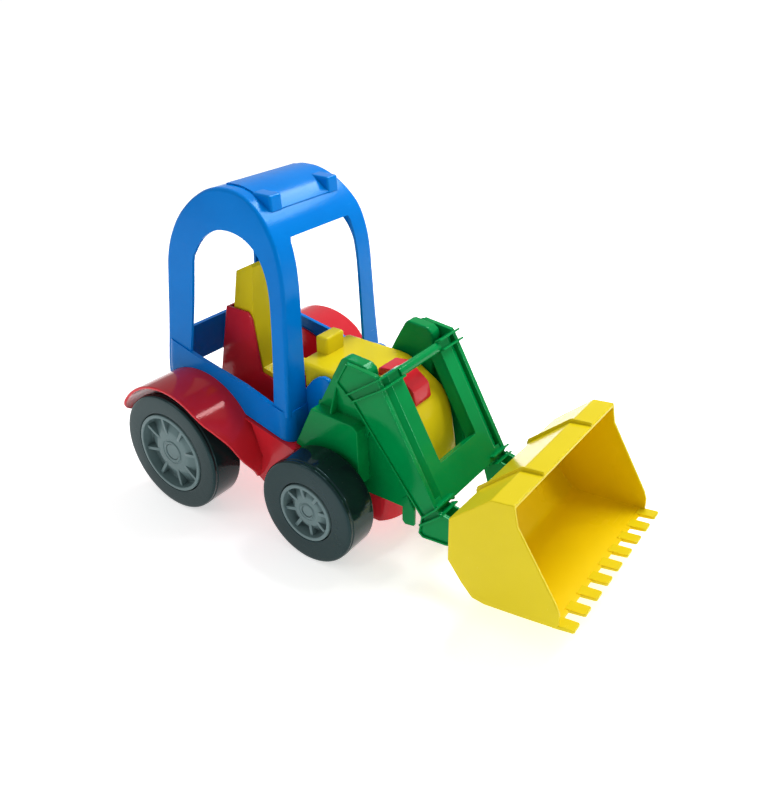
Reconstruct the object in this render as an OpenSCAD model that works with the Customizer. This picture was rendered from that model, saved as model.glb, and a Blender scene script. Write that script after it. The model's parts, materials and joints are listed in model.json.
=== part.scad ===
// Toy front loader tractor, moulded plastic, life size in millimetres.
// +X points to the bucket, +Y to the tractor's left, +Z up. Heights start at the ground.
// Inside the modules x is measured from the rear axle; at() moves all to the middle of the toy.

/* [Wheels] */
// Distance between the two axles
wheelbase = 145; // [143:0.5:147]
// Radius of the rear tyres
rear_r = 55; // [54:0.5:55.5]
// Radius of the front tyres
front_r = 46.5; // [45:0.5:47]
// Half the overall width over the rear wheels
rear_face = 110.5; // [109:0.5:112]
// Half the overall width over the front wheels
front_face = 99; // [98:0.5:101]
// Width of each tyre
tyre_w = 33; // [30:0.5:34]
// Radius of the rear rims
rear_rim_r = 37; // [34:0.5:39]
// Radius of the front rims
front_rim_r = 25.8; // [24:0.2:28]
// Number of spokes on each rim
spokes = 8; // [6:1:10]
// Radius of the axle rods
axle_r = 3; // [2.5:0.1:3.5]

/* [Body] */
// Outer radius of the rear mudguards
guard_r = 65.7; // [64.5:0.1:67]
// Wall thickness of the body mouldings
wall = 2.6; // [2.2:0.1:3]
// Half the width of the body between the wheels
body_y = 62; // [60:0.5:62.5]
// Height of the roof
roof_z = 281; // [275:0.5:285]
// Half the width of the hood
hood_y = 36; // [33:0.5:37]

/* [Loader] */
// Half the width over the loader arm's side walls
arm_y = 53.4; // [53:0.1:54]
// Half the width of the opening in the loader arm
arm_gap = 27.4; // [26:0.2:30]
// Radius of the lift pivot pins
pivot_r = 5; // [4:0.1:6]
// Half the width of the bucket
bucket_y = 86.5; // [80:0.5:90]
// Number of bucket teeth
teeth = 9; // [7:1:11]
// Length of the bucket teeth
tooth_l = 11.5; // [8:0.5:12]
// Radius of the bucket hinge pins
hinge_r = 4; // [3:0.1:4.5]

/* [Hidden] */
$fn = 64;
x0 = -155;
fit = 0.06;
pivot = [163, 150];
hinge = [257.5, 48];
guard_y = 110.6; // half the width over the mudguards
guard_c = [0, 52.7];
rear_z = rear_r;
front_z = front_r;

blue = "dodgerblue"; red = "firebrick"; green = "green"; yellow = "gold"; grey = "slategray";

module at() translate([x0, 0, 0]) children();
// A side outline (x, z) drawn out from y0 to y1.
module side(y0, y1) translate([0, y1, 0]) rotate([90, 0, 0]) linear_extrude(y1 - y0) children();
// The same on both sides of the tractor.
module pair(y0, y1) { side(y0, y1) children(); side(-y1, -y0) children(); }
// A rod along Y.
module rod(p, r, y0, y1) translate([p[0], y0, p[1]]) rotate([-90, 0, 0]) cylinder(r = r, h = y1 - y0);
// Unit vector and point on a line.
function dirv(a, b) = (b - a) / norm(b - a);
function left_of(d) = [-d[1], d[0]];

// ---- wheels: local z = 0 is the outer face, the wheel reaches to -tyre_w ----
function arc(c, r, a0, a1, n) = [for (i = [0:n]) c + r * [cos(a0 + (a1 - a0) * i / n), sin(a0 + (a1 - a0)
    * i / n)]];
// A hollow tyre, open on its inner side, with a sleeve that sits on the rim.
module tyre(r, rim, w) rotate_extrude($fn = 128) polygon(concat(
    [[rim + 0.1, 8 - w], [rim + 0.1, -1.2], [rim + 1.6, 0], [r - 3, 0]],
    arc([r - 2.6, -2.6], 2.6, 80, 0, 5),
    [[r, -9.6], [r - 0.9, -10.4], [r - 0.9, -11.6], [r - 0.4, -12.4]],
    arc([r - 8.4, 8 - w], 8, 0, -84, 7),
    arc([r - 8.4, 8 - w], 5, -84, 0, 7),
    [[r - 3.4, -3.2], [rim + 3, -3.2], [rim + 3, 8 - w]]));
module rim(r, w) difference() {
    union() {
        rotate_extrude($fn = 128) polygon([[8, -6.5], [r - 5.2, -8.5], [r - 3.2, 0.9], [r - 0.8, 0.9],
            [r, -0.4],
            [r, -w + 7], [r - 3, -w + 7], [r - 5.5, -12.5], [8, -11]]);
        rotate_extrude($fn = 96) polygon([[0, -4.6], [r * 0.2, -4.6], [r * 0.2, -3], [r * 0.3, -3],
            [r * 0.33, -7],
            [r * 0.33, -11], [8, -w - 6], [0, -w - 6]]);
        for (i = [0:spokes - 1]) rotate(i * 360 / spokes + 12)
            translate([r * 0.3, -0.9, -9]) cube([r * 0.58, 1.8, 6.6]);
    }
    translate([0, 0, -w - 7]) cylinder(r = axle_r + fit, h = w + 8);
    translate([0, 0, -5.2]) cylinder(r = r * 0.2 + 0.3, h = 8);
}
module wheel_pos(x, face, z, s) at() translate([x, s * face, z]) rotate([s < 0 ? 90 : -90, 0, 0]) children();

module tyre_rear_right() color("black") wheel_pos(0, rear_face, rear_z, -1) tyre(rear_r, rear_rim_r, tyre_w);
module tyre_rear_left() color("black") wheel_pos(0, rear_face, rear_z, 1) tyre(rear_r, rear_rim_r, tyre_w);
module tyre_front_right() color("black") wheel_pos(wheelbase, front_face, front_z, -1)
    tyre(front_r, front_rim_r, tyre_w);
module tyre_front_left() color("black") wheel_pos(wheelbase, front_face, front_z, 1)
    tyre(front_r, front_rim_r, tyre_w);
module rim_rear_right() color(grey) wheel_pos(0, rear_face, rear_z, -1) rim(rear_rim_r, tyre_w);
module rim_rear_left() color(grey) wheel_pos(0, rear_face, rear_z, 1) rim(rear_rim_r, tyre_w);
module rim_front_right() color(grey) wheel_pos(wheelbase, front_face, front_z, -1) rim(front_rim_r, tyre_w);
module rim_front_left() color(grey) wheel_pos(wheelbase, front_face, front_z, 1) rim(front_rim_r, tyre_w);

module axle_rear() color("silver") at() rod([0, rear_z], axle_r, -rear_face + 6, rear_face - 6);
module axle_front() color("silver") at() rod([wheelbase, front_z], axle_r, -front_face + 6, front_face - 6);
// Push-on caps at the axle ends, sunk in the hubs.
module cap(r) difference() {
    translate([0, 0, -4.8]) cylinder(r = r * 0.2 - 0.2, h = 1.8);
    translate([0, 0, -6.05]) cylinder(r = axle_r + 0.02, h = 0.05);
}
module hub_caps() color(grey) for (s = [-1, 1]) {
    wheel_pos(0, rear_face, rear_z, s) cap(rear_rim_r);
    wheel_pos(wheelbase, front_face, front_z, s) cap(front_rim_r);
}

// ---- chassis tub ----
ledge_a = [48, 91.5];
ledge_b = [110, 77];
module wall_shape() {
    polygon([[-44, 46], [24, 46], [67, 23], [102, 22], [109, 29], [109, 73.7], [50, 87.5], [-44, 87.5]]);
    intersection() {
        translate(guard_c) circle(guard_r - wall - 0.05, $fn = 128);
        translate([-44, 46]) square([93, 86]);
    }
}
module nose_shape(d) {
    // plan of the front part, rounded at its front corners
    translate([106, -47 + d]) square([77 - d, 94 - 2 * d]);
    for (s = [-1, 1]) translate([182, s * 32]) circle(15 - d, $fn = 64);
    translate([106, -32]) square([91 - d, 64]);
}
module chassis() color(red) at() difference() {
    union() {
        pair(body_y - wall, body_y) wall_shape();
        side(-body_y + 1, body_y - 1) polygon([[-44, 46], [24, 46], [68, 22], [106, 22], [106, 25],
            [69, 25], [25, 49], [-41.4, 49], [-41.4, 60], [-44, 60]]);
        // sloping ledges beside the cab
        pair(body_y - 8, body_y) polygon([ledge_a, ledge_b, ledge_b - [0, 3.4], ledge_a - [0, 3.4]]);
        pair(body_y - 0.01, body_y + 2.5) difference() {
            polygon([ledge_a, ledge_b, ledge_b - [0, 3.4], ledge_a - [0, 3.4]]);
            translate(guard_c) circle(guard_r + 0.15, $fn = 128);
        }
        // front part under the hood
        difference() {
            translate([0, 0, 22]) linear_extrude(25) nose_shape(0);
            translate([0, 0, 24.6]) linear_extrude(30) nose_shape(2.6);
        }
        translate([106.4, -body_y + 1, 22]) cube([2.6, 2 * body_y - 2, 25]);
        // axle carriers
        for (s = [-1, 1]) translate([wheelbase - 11, s * 40 - 3, 24]) cube([22, 6, 32]);
        for (s = [-1, 1]) translate([-11, s * 48 - 3, 48]) cube([22, 6, 18]);
        // cross walls that carry the seat
        translate([-22, -body_y + 1, 48]) cube([2.6, 2 * body_y - 2, 11.9]);
        translate([54, -body_y + 1, 31]) cube([2.6, 2 * body_y - 2, 28.9]);
        // screw posts
        for (x = [118, 176], s = [-1, 1]) translate([x, s * 31, 24]) cylinder(r = 4.5, h = 22);
    }
    rod([0, rear_z], axle_r + fit, -80, 80);
    rod([wheelbase, front_z], axle_r + fit, -80, 80);
    for (x = [118, 176], s = [-1, 1]) translate([x, s * 31, 20]) {
        cylinder(r = 1.55, h = 40); cylinder(r = 3.2, h = 3.4); }
    // nose underside rises to the front
    side(-60, 60) polygon([[178, 21], [201, 21], [201, 31]]);
}
module body_screws() color("silver") at() for (x = [118, 176], s = [-1, 1]) translate([x, s * 31, 0]) {
    difference() {
        translate([0, 0, 21.2]) cylinder(r = 3, h = 2.1);
        translate([-2.2, -0.4, 21]) cube([4.4, 0.8, 1.2]);
        translate([-0.4, -2.2, 21]) cube([0.8, 4.4, 1.2]);
    }
    translate([0, 0, 23.2]) cylinder(r = 1.5, h = 20);
}

// ---- rear mudguards: a bent sheet that narrows as it comes down in front of the wheel ----
module guard(s) color(red) at() difference() {
    intersection() {
        side(-120, 120) difference() {
            translate(guard_c) circle(guard_r, $fn = 192);
            translate(guard_c) circle(guard_r - wall, $fn = 192);
            // opened below, from the rear tip round to the foot of the front wall
            polygon([guard_c, guard_c + 90 * [cos(152), sin(152)], [-90, 60], [-90, -40], [52, -40],
                [52, 24], [40, 24]]);
        }
        // outline seen from the front: full width on top, running in to the body below
        rotate([90, 0, 90]) translate([0, 0, -80]) linear_extrude(160) polygon([[s * (body_y + 0.1), 20],
            [s * 64, 24],
            [s * 74, 40], [s * 86, 56], [s * 94, 73], [s * 101, 86], [s * 106, 95], [s * 109, 100],
            [s * guard_y, 104], [s * guard_y, 125], [s * (body_y + 0.1), 125]]);
    }
    // the rear half keeps its full width
    side(-50, 50) square(1);
}
module guard_side(s) { guard(s); color(red) at() guard_rear(s); }
// the part behind the crown, straight across, with a rounded corner at its tip
module guard_rear(s) intersection() {
    side(s < 0 ? -guard_y : body_y + 0.1, s < 0 ? -body_y - 0.1 : guard_y) intersection() {
        difference() {
            translate(guard_c) circle(guard_r, $fn = 192);
            translate(guard_c) circle(guard_r - wall, $fn = 192);
        }
        polygon([guard_c, guard_c + 90 * [cos(162), sin(162)], [-70, 140], [0, 140]]);
    }
    rotate([90, 0, 90]) translate([0, 0, -80]) linear_extrude(160) polygon([[s * (body_y + 0.1), 60],
        [s * 88, 71], [s * 95, 73.4],
        [s * 102, 77], [s * 107, 81.4], [s * 109.6, 86], [s * guard_y, 91], [s * guard_y, 125],
            [s * (body_y + 0.1), 125]]);
}
module guard_right() guard_side(-1);
module guard_left() guard_side(1);

// ---- seat ----
module seat_base() color(red) at() {
    pair(20.9, 23.5) polygon([[-20, 60], [-20, 92], [-4, 164], [22, 164], [26, 158], [33, 108], [53, 104],
        [56, 98], [56, 60]]);
    side(-20.9, 20.9) polygon([[-20, 60], [-20, 92], [-4, 164], [-1.2, 164], [-17.4, 91.5], [-17.4, 60]]);
    side(-20.9, 20.9) polygon([[53.4, 60], [53.4, 96], [56, 98], [56, 60]]);
}
module seat() color(yellow) at() difference() {
    side(-20.7, 20.7) polygon([[3, 163.5], [10, 199], [28, 208.5], [30, 206], [26, 164], [33.2, 112],
        [52.6, 107.5], [53.2, 96], [24, 96], [18, 104], [11, 163.5]]);
    side(-18.4, 18.4) polygon([[5.8, 165.8], [12, 197.4], [26, 204.8], [27.4, 204], [23.6, 164],
        [31.2, 110], [50.4, 105.6], [50.8, 90], [26.4, 90],
        [20.2, 105], [13.2, 165.8]]);
}

// ---- cab: a rounded hood shape with open sides, front and rear ----
// x range, half width and corner radius at each height
function cab_top() = [[170, -38.5, 99.6, 60], [200, -36, 98.6, 58], [215, -33.5, 97.6, 57.6],
    [230, -29, 95.4, 57.2], [245, -20, 91, 56.8],
    [256, -12, 85, 56], [265, -3, 77, 55], [272, 6, 68, 53.5], [277.5, 16, 58, 50.5], [roof_z, 28, 46, 45]];
function cab_low() = [[74, -46, 102.5, 65.6], [118, -43, 101.5, 64.4], [145, -40.5, 100.4, 62],
    [170, -38.5, 99.6, 60]];
module cab_slices(t, d) for (s = t) translate([s[1] + d, -s[3] + d, s[0] - (s[0] > 265 ? d : 0)])
    linear_extrude(0.1) {
    r = min(9, (s[2] - s[1]) / 2 - d - 1);
    w = s[2] - s[1] - 2 * d;
    h = 2 * s[3] - 2 * d;
    for (x = [r, w - r], y = [r, h - r]) translate([x, y]) circle(r, $fn = 32);
}
module cab_solid(d) {
    hull() cab_slices(cab_top(), d);
    hull() cab_slices(cab_low(), d);
}
// bottom edge of the cab: it rides on the mudguards, then follows the ledges
module cab_foot() {
    translate(guard_c) circle(guard_r + 0.15, $fn = 128);
    polygon([[-60, 60], [-60, 101], [-36, 101], [36, 101], ledge_a + [0, 0.15], ledge_b + [0, 0.15],
        [125, 60]]);
}
// doors, windscreen, rear window and the way under the rear crossbar
module cab_cuts() {
    side(-80, 80) polygon([[-12, 132], [-2, 215], [3, 225], [10, 235], [20, 243], [31, 248.5], [44, 249.5],
        [57, 247],
        [68, 240.5], [76, 230.5], [81, 217], [83, 200], [86, 148], [86, 111], [84, 109]]);
    translate([80, 0, 0]) rotate([90, 0, 90]) linear_extrude(40)
        polygon([[-41, 119], [-40, 170], [-38.5, 215], [-37, 248], [37, 248], [38.5, 215], [40, 170],
            [41, 119]]);
    translate([-60, 0, 0]) rotate([90, 0, 90]) linear_extrude(50)
        polygon([[-50, 139], [-47, 236], [-40, 245], [40, 245], [47, 236], [50, 139]]);
    translate([-60, -56, 60]) cube([50, 112, 43]);
}
// the line along the top of the proud lower band, where the cab is divided
function band_line() = [[-60, 142.5], [-33, 137.5], [1, 129.5], [55, 119.5], [88, 109.5], [97, 107.5],
    [125, 107.5]];
module cab() color(blue) at() difference() {
    cab_solid(0);
    cab_solid(wall);
    cab_cuts();
    side(-90, 90) polygon(concat(band_line(), [[125, 50], [-60, 50]]));
}
module cab_base() color(blue) at() difference() {
    union() {
        difference() {
            union() {
                difference() {
                    hull() cab_slices(cab_low(), 0);
                    hull() cab_slices(cab_low(), wall);
                }
                // proud band outside
                difference() {
                    cab_band_solid();
                    hull() cab_slices(cab_low(), 0.8);
                }
            }
            cab_cuts();
            side(-90, 90) polygon(concat(band_line(), [[125, 190], [-60, 190]]));
        }
        // ears on the front wall, between the hood and the loader brackets
        pair(36.6, 41.2) polygon([[101.8, 84], [101.8, 122], [108.8, 131], [114.3, 135], [119.8, 137],
            [124, 136.6], [127, 134.6], [128.2, 131], [126.2, 126.4], [121.6, 117], [109.6, 91], [107, 84]]);
    }
    side(-90, 90) cab_foot();
    // the ears stay clear of the loader brackets
    pair(37.5, 62.4) polygon([[105, 60], [105, 79.6], [123.6, 119.1], [138, 149], [176, 149], [176, 60]]);
    // inside stays clear of the tub
    translate([-70, -body_y - 0.2, 50]) cube([119, 2 * body_y + 0.4, 40]);
    translate([40, -body_y + 7.9, 60]) cube([62.4, 2 * (body_y - 7.9), 22]);
}
module cab_band_solid() hull() for (s = cab_low()) translate([s[1] - 1.3, -s[3] - 1.3, s[0]])
    linear_extrude(0.1)
    for (x = [9, s[2] - s[1] - 6.4], y = [9, 2 * s[3] - 6.4]) translate([x, y]) circle(9, $fn = 32);
module roof_lights() color(blue) at() difference() {
    union() {
        intersection() {
            cab_skin(2.2);
            translate([29, -41.5, 267]) cube([60, 83, 30]);
        }
        for (s = [-1, 1]) translate([56, s * 34.5 - 6.5, 266]) cube([19, 13, 12.5]);
    }
    cab_skin(0);
}
// the cab's roof, a hair larger, to seat the light panel on it
module cab_skin(d) hull() for (s = [for (q = cab_top()) if (q[0] > 240) q])
    translate([s[1] - 0.1 - d, -s[3], s[0] + 0.1 + d]) linear_extrude(0.1) {
    r = min(9, (s[2] - s[1]) / 2 - 1);
    for (x = [r, s[2] - s[1] + 0.2 + 2 * d - r], y = [r, 2 * s[3] - r]) translate([x, y]) circle(r, $fn = 32);
}

// ---- hood and its scoop ----
function hood_line() = [[97, 140], [146, 140], [158, 136], [176, 127.5], [188, 120.5], [196, 110],
    [200, 96], [204, 75], [207, 52]];
function hood_in() = [[99.6, 137.4], [145.5, 137.4], [157, 133.6], [174.8, 125.2], [186.2, 118.6],
    [193.6, 109], [197.4, 95.4], [201.4, 74.7], [204.4, 50]];
module hood() color(yellow) at() {
    difference() {
        side(-hood_y, hood_y) polygon(concat(hood_line(), [[207, 47.2], [114, 47.2], [114, 120], [97, 120]]));
        side(-hood_y + wall, hood_y - wall) polygon(concat(hood_in(), [[204.4, 40], [116.6, 40],
            [116.6, 118], [99.6, 118]]));
        // open towards the ears of the cab
        translate([wheelbase - 12, -60, 40]) cube([24, 120, 17]);
    }
    // dashboard block
    translate([89, -12, 140]) cube([12.5, 24, 15.5]);
    translate([89, -hood_y, 134]) cube([9, 2 * hood_y, 6]);
}
module scoop() color(red) at() side(-12, 12) difference() {
    polygon([[154.5, 144], [169, 146.5], [188, 133], [192, 121], [180, 112], [150, 128]]);
    translate([0, 0.1]) polygon(concat(hood_line(), [[200, 40], [97, 40]]));
}

// ---- loader brackets ----
module bracket(s) color(green) at() mirror([0, s < 0 ? 1 : 0, 0]) difference() {
    union() {
        // tower that carries the lift pivot
        side(37.9, 50.3) polygon([[113, 92], [124, 119], [138, 148], [147, 165], [150, 167], [169, 165.5],
            [174, 162], [175.5, 157], [175, 112], [168, 92]]);
        // box over the front wheel's inner side
        side(47, body_y) polygon([[105.5, 79.6], [124, 118.8], [166, 116.8], [170.5, 113], [172, 62],
            [112, 62], [112, 77.6]]);
        // fairing behind the arm
        side(44.4, 47) polygon([[112, 78], [120, 119], [172, 135], [186, 120], [210, 60], [207, 47],
            [112, 47]]);
        side(44.4, 47.6) polygon([[204.5, 52], [204.5, 34], [207.5, 31], [216, 32.5], [216, 48], [209, 60]]);
    }
    rod(pivot, pivot_r + fit, 30, 60);
    rod([wheelbase, front_z], axle_r + 0.3, 30, 70);
    // the box is open below
    side(49.6, body_y - 2.5) polygon([[111, 81], [126, 115.8], [165, 114], [168, 111], [169.5, 58],
        [114.6, 58], [114.6, 80]]);
}
module bracket_right() bracket(-1);
module bracket_left() bracket(1);

// ---- loader arm ----
arm_a = [185.5, 161];       // top of the front face
arm_b = [242, 62];          // foot of the front face
arm_d = dirv(arm_a, arm_b); // runs down the arm
arm_n = left_of(arm_d);     // points out of the front face
function on_arm(t, out) = arm_a + arm_d * t + arm_n * out;
module arm_outline() polygon([[144.5, 146], [155, 166], [184, 163.2], arm_a, arm_b, [263, 58.6], [269, 48],
    [264, 38.5], [251, 34], [229, 32], [225, 35], [227.5, 51],
    [161, 133], [155, 137]]);
module strip(t0, t1, o0, o1) polygon([on_arm(t0, o0), on_arm(t1, o0), on_arm(t1, o1), on_arm(t0, o1)]);
// one of the thin flanges that run round the arm: p is its rear end on the side wall
module flange(p, t, y_in) {
    q = on_arm(t, 4.6);
    d = dirv(p, q);
    n = left_of(d);
    pair(arm_y - 0.4, arm_y + 4.2) polygon([p, q, q + n * 1.7, p + n * 1.7]);
    if (y_in == 0) side(-arm_y - 4.2, arm_y + 4.2)
        polygon([on_arm(t, -1.4), q, q + n * 1.7, on_arm(t, -1.4) + n * 1.7]);
    else pair(y_in, arm_y + 4.2) polygon([on_arm(t, -1.4), q, q + n * 1.7, on_arm(t, -1.4) + n * 1.7]);
}
module loader_arm() color(green) at() difference() {
    union() {
        // side walls, with a raised rim
        pair(arm_y - 2.5, arm_y) arm_outline();
        // front face
        side(-arm_y, arm_y) strip(0, norm(arm_b - arm_a), -2.6, 0);
        // inner walls of the two legs
        pair(arm_gap, arm_gap + 2.4) strip(9, norm(arm_b - arm_a), -12, 0);
        side(-arm_gap - 1, arm_gap + 1) strip(84.4, 86.8, -7, -1);
        side(-arm_gap - 1, arm_gap + 1) strip(2, 9.6, -4.6, -1);
        // pair of flanges at the top and at the foot
        flange([155, 137], 1, 0);
        flange([161, 133], 9.2, 0);
        flange([229, 51], 110.5, 31.9);
        flange([227, 43], 117.5, 31.9);
        // feet that hold the bucket hinge
        pair(36.6, 39.1) polygon([on_arm(92, 0), arm_b, [263, 58.6], [269, 48], [264, 38.5], [251, 34],
            [236, 36], on_arm(92, -10)]);
        pair(arm_gap, arm_y - 1) polygon([on_arm(104, 0), arm_b + [0, 0.01],
            on_arm(114, -12), on_arm(104, -12)]);
        // lift pivot pins
        rod(pivot, pivot_r, 38.2, arm_y - 1);
        rod(pivot, pivot_r, -arm_y + 1, -38.2);
    }
    // window between the legs
    side(-arm_gap, arm_gap) polygon([on_arm(11.4, -20), on_arm(84.4, -20), on_arm(84.4, 2), on_arm(11.4, 2)]);
    rod(hinge, hinge_r + 0.02, -60, 60);
}
module bucket_pins() color(green) at() for (s = [-1, 1])
    rod(hinge, hinge_r, s > 0 ? 36.6 : -arm_y, s > 0 ? arm_y : -36.6);

// ---- bucket ----
module bucket_outline() polygon([[271, 89], [303, 118.6], [320.5, 121], [324, 104.5], [358, 50.5],
    [360.6, 44], [361, 36], [360, 31.5],
    [332, 28.2], [304, 25.4], [293.5, 26.5], [284, 36], [271.5, 52]]);
module bucket_inside() polygon([[273.6, 88], [304.2, 115.8], [322, 118.1], [327, 106], [345, 90],
    [362, 60], [370, 34.6],
    [331.5, 30.8], [304, 28], [294.6, 29], [285.9, 37.8], [274, 53]]);
// seen from above the bucket narrows a little towards its teeth
module bucket_plan(d) translate([0, 0, 20]) linear_extrude(110)
    polygon([[240, d - bucket_y], [303, d - bucket_y], [380, d - bucket_y + 3.1],
        [380, bucket_y - d - 3.1], [303, bucket_y - d], [240, bucket_y - d]]);
module bucket() color(yellow) at() difference() {
    union() {
        intersection() {
            bucket_plan(0);
            union() {
                difference() {
                    side(-bucket_y, bucket_y) bucket_outline();
                    intersection() { side(-bucket_y, bucket_y) bucket_inside(); bucket_plan(wall); }
                }
                for (i = [0:teeth - 1]) translate([0, -bucket_y + 2.6 + i * (2 * bucket_y - 5.2 - 11.5)
                    / (teeth - 1), 0])
                    side(0, 11.5) polygon([[356, 30.9], [361 + tooth_l, 33.6], [361 + tooth_l, 36.2],
                        [358, 35.2]]);
            }
        }
        // thin ribs on the back and top
        pair(40.4, 42) polygon([[271, 80], [267.5, 84], [268, 90], [302.5, 121.4], [321, 123.6],
            [320.5, 120], [303, 117], [272, 88]]);
        // hinge lugs
        pair(41, 48.6) polygon([[273, 62], [262, 58.4], [251, 52], [250.6, 44], [257, 38.6], [263, 38.8],
            [287, 35], [276, 54]]);
    }
    rod(hinge, hinge_r + fit, -60, 60);
    intersection() { side(-bucket_y, bucket_y) intersection() { bucket_inside(); translate([273, 20])
        square([60, 80]); } bucket_plan(wall); }
}

chassis();
guard_right();
guard_left();
seat_base();
seat();
cab();
cab_base();
roof_lights();
hood();
scoop();
bracket_right();
bracket_left();
body_screws();
loader_arm();
bucket_pins();
bucket();
axle_rear();
axle_front();
hub_caps();
tyre_rear_right();
tyre_rear_left();
tyre_front_right();
tyre_front_left();
rim_rear_right();
rim_rear_left();
rim_front_right();
rim_front_left();
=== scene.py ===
# Toy front loader tractor: rounded mouldings and finishes over the fixed frame.
import bpy, bmesh, math, json
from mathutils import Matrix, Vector


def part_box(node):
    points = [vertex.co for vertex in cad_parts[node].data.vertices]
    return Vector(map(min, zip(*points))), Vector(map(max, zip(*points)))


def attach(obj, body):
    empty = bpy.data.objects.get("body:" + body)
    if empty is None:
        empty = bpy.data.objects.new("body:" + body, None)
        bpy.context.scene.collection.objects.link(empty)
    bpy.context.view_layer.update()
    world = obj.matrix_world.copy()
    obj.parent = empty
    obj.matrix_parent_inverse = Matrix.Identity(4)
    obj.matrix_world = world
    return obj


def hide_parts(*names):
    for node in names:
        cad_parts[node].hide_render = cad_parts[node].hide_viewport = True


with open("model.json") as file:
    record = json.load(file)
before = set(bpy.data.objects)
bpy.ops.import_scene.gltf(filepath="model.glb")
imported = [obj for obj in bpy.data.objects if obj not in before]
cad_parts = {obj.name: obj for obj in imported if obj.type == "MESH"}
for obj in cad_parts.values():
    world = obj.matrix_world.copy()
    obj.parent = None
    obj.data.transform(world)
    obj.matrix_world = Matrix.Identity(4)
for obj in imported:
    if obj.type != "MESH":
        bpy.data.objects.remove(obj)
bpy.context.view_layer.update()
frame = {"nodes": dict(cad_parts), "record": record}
nodes = frame["nodes"]
axle_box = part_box("axle_rear")
rear_axle_x = (axle_box[0][0] + axle_box[1][0]) / 2
MM = 0.001


def at(x, y, z):
    """A place in millimetres, x counted from the rear axle."""
    return Vector((rear_axle_x + x * MM, y * MM, z * MM))


# ---- camera -------------------------------------------------------------
camera_data = bpy.data.cameras.new("camera")
camera = bpy.data.objects.new("camera", camera_data)
bpy.context.collection.objects.link(camera)
bpy.context.scene.camera = camera
camera_data.lens = 36.967
camera_data.sensor_width = 36
camera_data.sensor_fit = "AUTO"
camera.location = at(508.8, -492.2, 448.5)
camera.rotation_euler = (math.radians(90 - 29.272), 0, math.radians(35.525))


# ---- hand tools ---------------------------------------------------------
def clear():
    if bpy.context.mode != "OBJECT":
        bpy.ops.object.mode_set(mode="OBJECT")
    bpy.ops.object.select_all(action="DESELECT")


def choose(*pieces):
    clear()
    for piece in pieces:
        piece.select_set(True)
    bpy.context.view_layer.objects.active = pieces[0]


def edit(piece, kind="VERT"):
    choose(piece)
    bpy.ops.object.mode_set(mode="EDIT")
    bpy.ops.mesh.select_mode(type=kind)


def done():
    bpy.ops.object.mode_set(mode="OBJECT")


def name_it(piece, name):
    piece.name = piece.data.name = name
    return piece


def start_point(name, place):
    """A small plane drawn together to one point, left in edit mode."""
    clear()
    bpy.ops.mesh.primitive_plane_add(size=0.01, location=place)
    piece = name_it(bpy.context.object, name)
    bpy.ops.object.transform_apply(location=True, rotation=True, scale=True)
    bpy.ops.object.mode_set(mode="EDIT")
    bpy.ops.mesh.select_mode(type="VERT")
    bpy.ops.mesh.select_all(action="SELECT")
    bpy.ops.mesh.merge(type="CENTER")
    return piece


def trace(name, places):
    """Pull the point along all the places, one edge at a time."""
    piece = start_point(name, places[0])
    for a, b in zip(places, places[1:]):
        bpy.ops.mesh.extrude_region_move(TRANSFORM_OT_translate={"value": b - a})
    bpy.ops.mesh.select_all(action="SELECT")
    return piece


def slab(name, places, pull):
    """A filled outline pulled out into a solid."""
    piece = trace(name, places)
    bpy.ops.mesh.edge_face_add()
    bpy.ops.mesh.extrude_region_move(TRANSFORM_OT_translate={"value": pull})
    bpy.ops.mesh.select_all(action="SELECT")
    bpy.ops.mesh.normals_make_consistent(inside=False)
    done()
    return piece


def side_slab(name, outline, y0, y1):
    """A side view outline (x, z) pulled from y0 to y1."""
    return slab(name, [at(x, y0, z) for x, z in outline], Vector((0, (y1 - y0) * MM, 0)))


def plan_slab(name, outline, z0, z1):
    return slab(name, [at(x, y, z0) for x, y in outline], Vector((0, 0, (z1 - z0) * MM)))


def front_slab(name, outline, x0, x1):
    """An outline (y, z) pulled from x0 to x1."""
    return slab(name, [at(x0, y, z) for y, z in outline], Vector(((x1 - x0) * MM, 0, 0)))


def mark_edges(piece, test):
    """Enter edit mode with the edges selected whose middle (mm) and direction pass."""
    edit(piece, "EDGE")
    bpy.ops.mesh.select_all(action="DESELECT")
    mesh = bmesh.from_edit_mesh(piece.data)
    for edge in mesh.edges:
        a, b = (v.co for v in edge.verts)
        m = (a + b) / 2
        if test(Vector(((m.x - rear_axle_x) / MM, m.y / MM, m.z / MM)), (b - a).normalized()):
            edge.select_set(True)
    bmesh.update_edit_mesh(piece.data)


def mark_points(piece, test):
    edit(piece, "VERT")
    bpy.ops.mesh.select_all(action="DESELECT")
    mesh = bmesh.from_edit_mesh(piece.data)
    for vert in mesh.verts:
        if test(Vector(((vert.co.x - rear_axle_x) / MM, vert.co.y / MM, vert.co.z / MM))):
            vert.select_set(True)
    mesh.select_flush_mode()
    bmesh.update_edit_mesh(piece.data)


def mark_faces(piece, test):
    """Enter edit mode with the faces selected that pass the test."""
    edit(piece, "FACE")
    bpy.ops.mesh.select_all(action="DESELECT")
    mesh = bmesh.from_edit_mesh(piece.data)
    for one in mesh.faces:
        one.select_set(bool(test(one)))
    bmesh.update_edit_mesh(piece.data)


def round_edges(piece, radius, steps, test):
    mark_edges(piece, test)
    bpy.ops.mesh.bevel(offset=radius * MM, segments=steps, profile=0.5, affect="EDGES",
        clamp_overlap=True)
    done()


def run_modifier(piece, kind, **settings):
    choose(piece)
    bpy.ops.object.modifier_add(type=kind)
    modifier = piece.modifiers[-1]
    for key, value in settings.items():
        setattr(modifier, key, value)
    bpy.ops.object.modifier_apply(modifier=modifier.name)


def soften(piece, radius=0.8, steps=2, angle=28):
    """Small moulding radius on every sharp edge."""
    run_modifier(piece, "BEVEL", width=radius * MM, segments=steps, limit_method="ANGLE",
                 angle_limit=math.radians(angle), use_clamp_overlap=True, miter_outer="MITER_ARC")


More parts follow.
